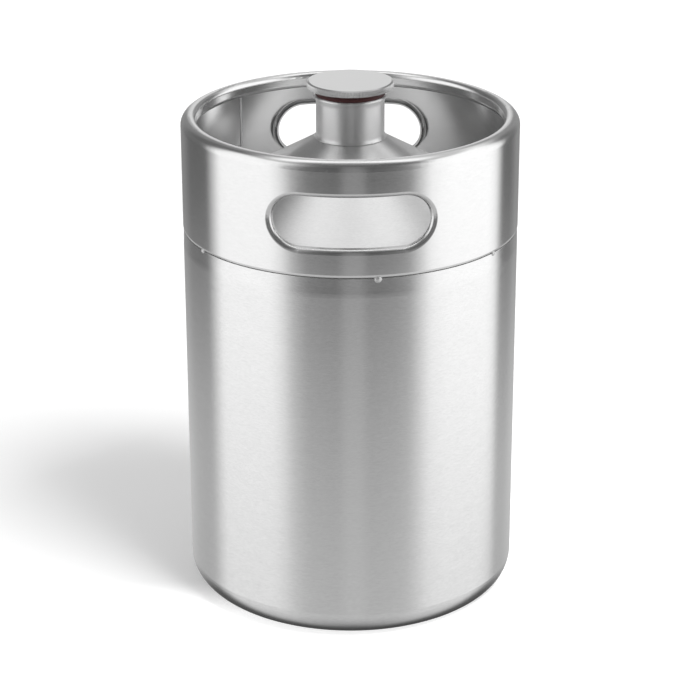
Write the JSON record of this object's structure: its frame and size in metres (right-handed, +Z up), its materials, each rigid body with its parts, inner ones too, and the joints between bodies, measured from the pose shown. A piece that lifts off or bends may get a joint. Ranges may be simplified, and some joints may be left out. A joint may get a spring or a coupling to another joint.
{
  "type": "mini keg",
  "caption": "Upright cylindrical stainless mini keg with a rolled handle collar, hand slots, a threaded neck and a knurled screw cap.",
  "frame": {"origin": "centre of the foot ring, on the plane that the keg stands on", "axes": "+Z up along the keg's axis, -Y towards the front hand slot, +X to the right seen from the front"},
  "size_m": [0.1722, 0.1722, 0.2728],
  "materials": {
    "satin_steel": "fine satin grain round the body",
    "turned_steel": "smooth turned surface, brighter than the sheet",
    "weld_metal": "plain weld bead",
    "seal_rubber": "dark red silicone"
  },
  "bodies": {
    "keg": {"body_shell": "satin_steel", "base_dish": "satin_steel", "base_weld": "weld_metal", "shoulder_cone": "satin_steel", "girth_weld": "weld_metal", "neck_tube": "turned_steel", "neck_weld": "weld_metal", "handle_collar": "satin_steel", "rolled_rim": "satin_steel", "collar_seam_weld": "weld_metal", "collar_tack_welds": "weld_metal"},
    "seal": {"cap_seal": "seal_rubber"},
    "cap": {"cap_head": "turned_steel", "cap_plug": "turned_steel"}
  },
  "joints": [
    {"name": "cap_lift", "type": "slide", "parent": "keg", "child": "seal", "axis": [0, 0, 1], "range_m": [0, 0.01205]},
    {"name": "cap_turn", "type": "hinge", "parent": "seal", "child": "cap", "pos_m": [0, 0, 0.2658], "axis": [0, 0, 1], "range_deg": [0, 1440]}
  ],
  "couplings": [
    {"joint": "cap_lift", "follows": "cap_turn", "m_per_rad": 0.00047746}
  ]
}
